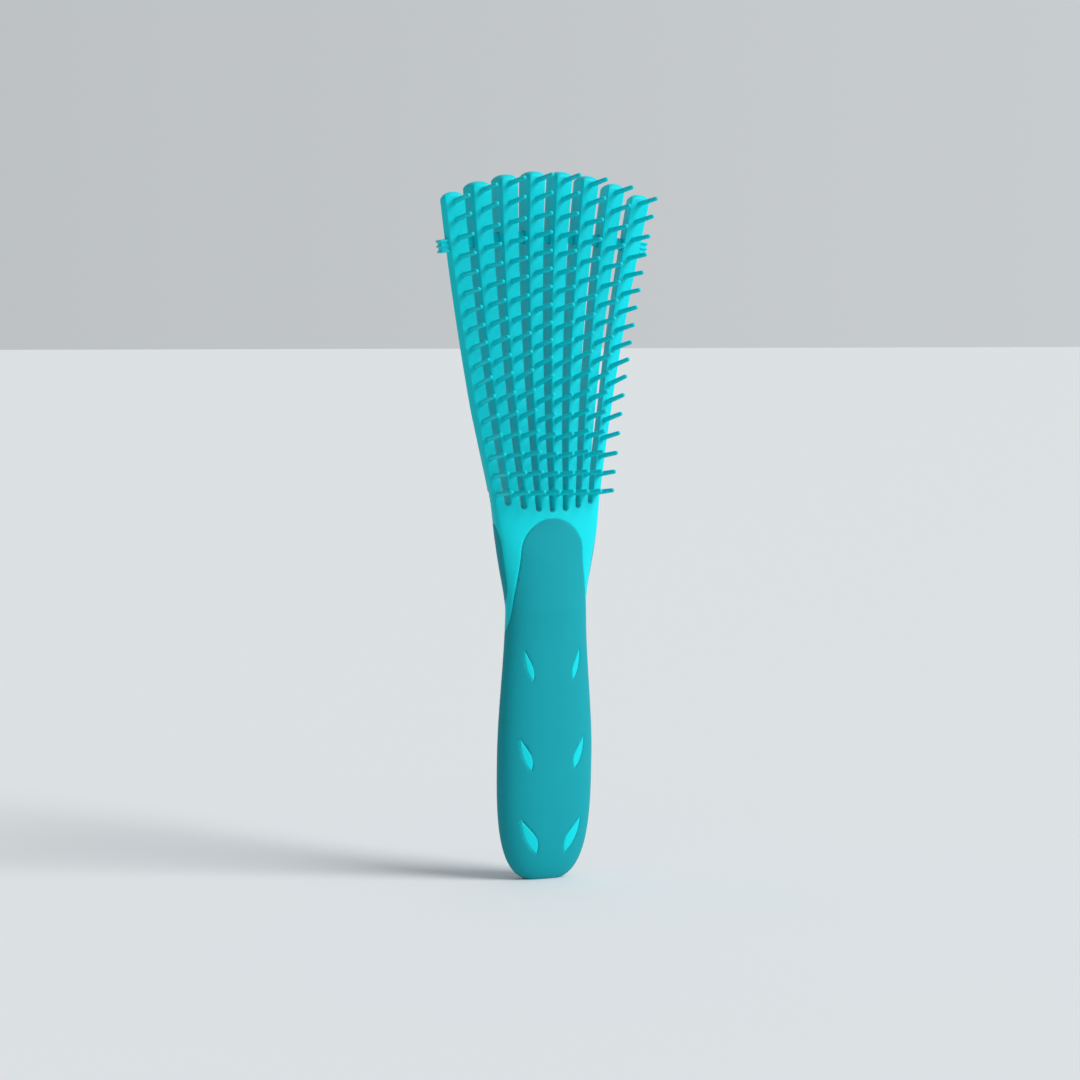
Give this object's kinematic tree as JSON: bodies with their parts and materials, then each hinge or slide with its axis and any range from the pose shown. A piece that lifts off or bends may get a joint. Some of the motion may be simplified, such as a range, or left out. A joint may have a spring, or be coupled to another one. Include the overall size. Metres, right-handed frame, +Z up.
{
  "type": "detangling brush",
  "caption": "Hand-held detangling brush: flexible ribs with round-tipped pins fan out of a neck, tied by a strip near their tips, on a handle with a soft grip sleeve.",
  "frame": {"origin": "centre of the flat face of the butt end", "axes": "+Z up the brush from the butt to the rib tips, X across it, pins point to -Y"},
  "size_m": [0.0782, 0.0269, 0.2399],
  "materials": {
    "turquoise_plastic": "smooth gloss, moulded",
    "soft_grip": "matte soft-touch"
  },
  "bodies": {
    "handle": {"handle_core": "turquoise_plastic", "grip_sleeve": "soft_grip", "thumb_pad": "soft_grip"},
    "tie": {"tie_strip": "turquoise_plastic", "tie_end_left": "turquoise_plastic", "tie_end_right": "turquoise_plastic"},
    "rib_1": {"rib_1": "turquoise_plastic", "pins_1": "turquoise_plastic"},
    "rib_2": {"rib_2": "turquoise_plastic", "pins_2": "turquoise_plastic"},
    "rib_3": {"rib_3": "turquoise_plastic", "pins_3": "turquoise_plastic"},
    "rib_4": {"rib_4": "turquoise_plastic", "pins_4": "turquoise_plastic"},
    "rib_5": {"rib_5": "turquoise_plastic", "pins_5": "turquoise_plastic"},
    "rib_6": {"rib_6": "turquoise_plastic", "pins_6": "turquoise_plastic"},
    "rib_7": {"rib_7": "turquoise_plastic", "pins_7": "turquoise_plastic"},
    "rib_8": {"rib_8": "turquoise_plastic", "pins_8": "turquoise_plastic"}
  },
  "joints": [
    {"name": "head_flex", "type": "hinge", "parent": "handle", "child": "tie", "pos_m": [0, -0.00447, 0.1173], "axis": [-1, 0, 0], "range_deg": [-4, 12], "stiffness_Nm_per_rad": 8},
    {"name": "rib_1_sway", "type": "hinge", "parent": "tie", "child": "rib_1", "pos_m": [-0.01788, -0.00249, 0.12483], "axis": [0, 1, 0], "range_deg": [0, 1.5], "stiffness_Nm_per_rad": 0.6},
    {"name": "rib_2_sway", "type": "hinge", "parent": "tie", "child": "rib_2", "pos_m": [-0.0128, -0.0043, 0.12555], "axis": [0, 1, 0], "range_deg": [-1.5, 1.5], "stiffness_Nm_per_rad": 0.6},
    {"name": "rib_3_sway", "type": "hinge", "parent": "tie", "child": "rib_3", "pos_m": [-0.00769, -0.00549, 0.12603], "axis": [0, 1, 0], "range_deg": [-1.5, 1.5], "stiffness_Nm_per_rad": 0.6},
    {"name": "rib_4_sway", "type": "hinge", "parent": "tie", "child": "rib_4", "pos_m": [-0.00257, -0.00609, 0.12627], "axis": [0, 1, 0], "range_deg": [-1.5, 1.5], "stiffness_Nm_per_rad": 0.6},
    {"name": "rib_5_sway", "type": "hinge", "parent": "tie", "child": "rib_5", "pos_m": [0.00257, -0.00609, 0.12627], "axis": [0, 1, 0], "range_deg": [-1.5, 1.5], "stiffness_Nm_per_rad": 0.6},
    {"name": "rib_6_sway", "type": "hinge", "parent": "tie", "child": "rib_6", "pos_m": [0.00769, -0.00549, 0.12603], "axis": [0, 1, 0], "range_deg": [-1.5, 1.5], "stiffness_Nm_per_rad": 0.6},
    {"name": "rib_7_sway", "type": "hinge", "parent": "tie", "child": "rib_7", "pos_m": [0.0128, -0.0043, 0.12555], "axis": [0, 1, 0], "range_deg": [-1.5, 1.5], "stiffness_Nm_per_rad": 0.6},
    {"name": "rib_8_sway", "type": "hinge", "parent": "tie", "child": "rib_8", "pos_m": [0.01788, -0.00249, 0.12483], "axis": [0, 1, 0], "range_deg": [-1.5, 0], "stiffness_Nm_per_rad": 0.6}
  ]
}
